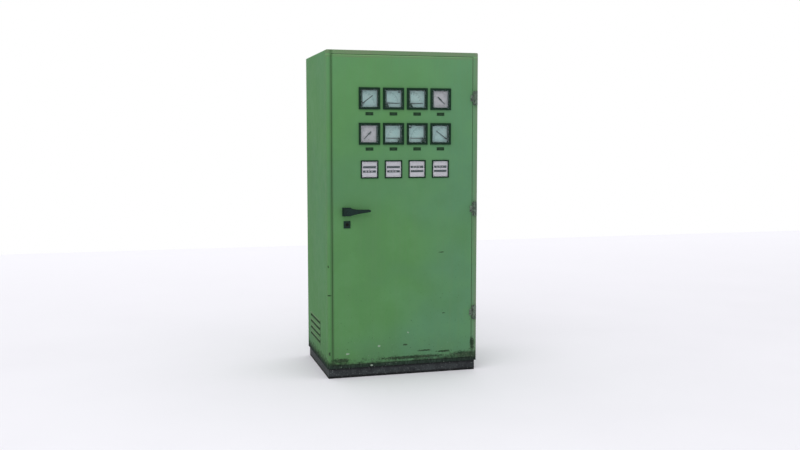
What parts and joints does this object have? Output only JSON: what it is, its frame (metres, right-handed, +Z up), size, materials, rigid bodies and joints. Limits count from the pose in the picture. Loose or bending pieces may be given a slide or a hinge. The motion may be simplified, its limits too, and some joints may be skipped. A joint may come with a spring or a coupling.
{
  "type": "electrical control cabinet",
  "caption": "Free-standing sheet-steel control cabinet with a hinged instrument door, lever latch, lock, panel meters and switchgear on an inner mounting plate.",
  "frame": {"origin": "on the floor, at the centre of the plinth's four floor-bolt holes", "axes": "+X to the right of a person facing the door, +Y towards the back, +Z up"},
  "size_m": [0.7, 0.5279, 1.456],
  "materials": {
    "green_paint": "semi-gloss enamel, worn and dirty low down",
    "black_paint": "matt black, scuffed",
    "galvanised": "spangled zinc coat",
    "zinc_steel": "zinc plated",
    "hinge_steel": "dull steel with old paint",
    "handle_black": "black enamel worn at the edges",
    "meter_black": "fine-grained moulding",
    "dial_enamel": "matt printed dial",
    "face_card": "matt white",
    "reed_steel": "spring steel with white tips",
    "window_glass": "clear",
    "pointer_black": "blackened",
    "label_black": "engraving laminate without text",
    "gasket_rubber": "closed-cell foam rubber",
    "lock_brass": "worn",
    "duct_grey": "extruded",
    "gland_grey": "moulded",
    "breaker_black": "moulded bakelite",
    "toggle_grey": "moulded",
    "copper": "bare copper, dulled",
    "transformer_resin": "cast resin",
    "insulator_red": "moulded",
    "core_iron": "varnished laminations",
    "coil_varnish": "varnished paper and wire",
    "socket_grey": "moulded",
    "relay_smoke": "smoky cover",
    "terminal_beige": "moulded polyamide"
  },
  "bodies": {
    "cabinet": {"busbar_insulators": "insulator_red", "busbars": "copper", "cabinet_shell": "green_paint", "cable_glands": "gland_grey", "control_breaker": "breaker_black", "current_transformers": "transformer_resin", "din_rails": "galvanised", "door_frame": "green_paint", "earth_bar": "copper", "gland_plate": "galvanised", "hinge_frame_knuckles": "hinge_steel", "hinge_pins": "hinge_steel", "main_breaker": "breaker_black", "mounting_plate": "galvanised", "panel_screws": "zinc_steel", "plinth_frame": "black_paint", "rear_frame": "green_paint", "rear_panel": "green_paint", "relay_sockets": "socket_grey", "relays": "relay_smoke", "side_louvres": "green_paint", "terminal_blocks": "terminal_beige", "transformer_coil": "coil_varnish", "transformer_core": "core_iron", "wire_duct_lids": "duct_grey", "wire_ducts": "duct_grey"},
    "door": {"door_panel": "green_paint", "door_gasket": "gasket_rubber", "door_stiffeners": "green_paint", "hinge_door_knuckles": "hinge_steel", "handle_base": "handle_black", "rod_guides": "zinc_steel", "lock_housing": "handle_black", "label_plates": "label_black", "meter_cases": "meter_black", "instrument_windows": "window_glass", "meter_dials": "dial_enamel", "meter_movements": "meter_black", "meter_clamps": "zinc_steel", "meter_hub_covers": "meter_black", "reed_meter_cases": "meter_black", "reed_meter_faces": "face_card", "reed_tongues": "reed_steel"},
    "handle": {"handle_lever": "handle_black", "handle_spindle": "zinc_steel", "latch_pinion": "zinc_steel"},
    "upper_rod": {"upper_latch_rod": "zinc_steel"},
    "lower_rod": {"lower_latch_rod": "zinc_steel"},
    "lock": {"lock_core": "lock_brass", "lock_tongue": "zinc_steel"},
    "main_toggle": {"main_breaker_toggle": "toggle_grey"},
    "control_toggle": {"control_breaker_toggle": "toggle_grey"},
    "pointer_1": {"pointer_1": "pointer_black"},
    "pointer_2": {"pointer_2": "pointer_black"},
    "pointer_3": {"pointer_3": "pointer_black"},
    "pointer_4": {"pointer_4": "pointer_black"},
    "pointer_5": {"pointer_5": "pointer_black"},
    "pointer_6": {"pointer_6": "pointer_black"},
    "pointer_7": {"pointer_7": "pointer_black"},
    "pointer_8": {"pointer_8": "pointer_black"}
  },
  "joints": [
    {"name": "door_hinge", "type": "hinge", "parent": "cabinet", "child": "door", "pos_m": [0.338, -0.2585, 0.751], "axis": [0, 0, 1], "range_deg": [0, 120]},
    {"name": "handle_turn", "type": "hinge", "parent": "door", "child": "handle", "pos_m": [-0.2615, -0.258, 0.7485], "axis": [0, -1, 0], "range_deg": [0, 90]},
    {"name": "upper_rod_slide", "type": "slide", "parent": "door", "child": "upper_rod", "axis": [0, 0, 1], "range_m": [0, 0.0189]},
    {"name": "lower_rod_slide", "type": "slide", "parent": "door", "child": "lower_rod", "axis": [0, 0, -1], "range_m": [0, 0.0189]},
    {"name": "lock_turn", "type": "hinge", "parent": "door", "child": "lock", "pos_m": [-0.2593, -0.25, 0.6918], "axis": [0, 1, 0], "range_deg": [0, 90]},
    {"name": "main_toggle_throw", "type": "hinge", "parent": "cabinet", "child": "main_toggle", "pos_m": [-0.1475, 0.108, 1.23], "axis": [1, 0, 0], "range_deg": [0, 48]},
    {"name": "control_toggle_throw", "type": "hinge", "parent": "cabinet", "child": "control_toggle", "pos_m": [0.15, 0.1225, 0.83], "axis": [1, 0, 0], "range_deg": [0, 48]},
    {"name": "pointer_1_swing", "type": "hinge", "parent": "door", "child": "pointer_1", "pos_m": [-0.183, -0.243, 1.2275], "axis": [0, -1, 0], "range_deg": [-36.6, 53.4], "stiffness_Nm_per_rad": 0.002},
    {"name": "pointer_2_swing", "type": "hinge", "parent": "door", "child": "pointer_2", "pos_m": [-0.0734, -0.243, 1.2275], "axis": [0, -1, 0], "range_deg": [0, 90], "stiffness_Nm_per_rad": 0.002},
    {"name": "pointer_3_swing", "type": "hinge", "parent": "door", "child": "pointer_3", "pos_m": [0.0362, -0.243, 1.2275], "axis": [0, -1, 0], "range_deg": [0, 90], "stiffness_Nm_per_rad": 0.002},
    {"name": "pointer_4_swing", "type": "hinge", "parent": "door", "child": "pointer_4", "pos_m": [0.1728, -0.243, 1.247], "axis": [0, -1, 0], "continuous": true},
    {"name": "pointer_5_swing", "type": "hinge", "parent": "door", "child": "pointer_5", "pos_m": [-0.156, -0.243, 1.092], "axis": [0, -1, 0], "continuous": true},
    {"name": "pointer_6_swing", "type": "hinge", "parent": "door", "child": "pointer_6", "pos_m": [-0.0194, -0.243, 1.0725], "axis": [0, 1, 0], "range_deg": [0, 90], "stiffness_Nm_per_rad": 0.002},
    {"name": "pointer_7_swing", "type": "hinge", "parent": "door", "child": "pointer_7", "pos_m": [0.0902, -0.243, 1.0725], "axis": [0, 1, 0], "range_deg": [0, 90], "stiffness_Nm_per_rad": 0.002},
    {"name": "pointer_8_swing", "type": "hinge", "parent": "door", "child": "pointer_8", "pos_m": [0.1998, -0.243, 1.0725], "axis": [0, 1, 0], "range_deg": [-36.6, 53.4], "stiffness_Nm_per_rad": 0.002}
  ],
  "couplings": [
    {"joint": "upper_rod_slide", "follows": "handle_turn", "m_per_rad": 0.012},
    {"joint": "lower_rod_slide", "follows": "handle_turn", "m_per_rad": 0.012}
  ]
}
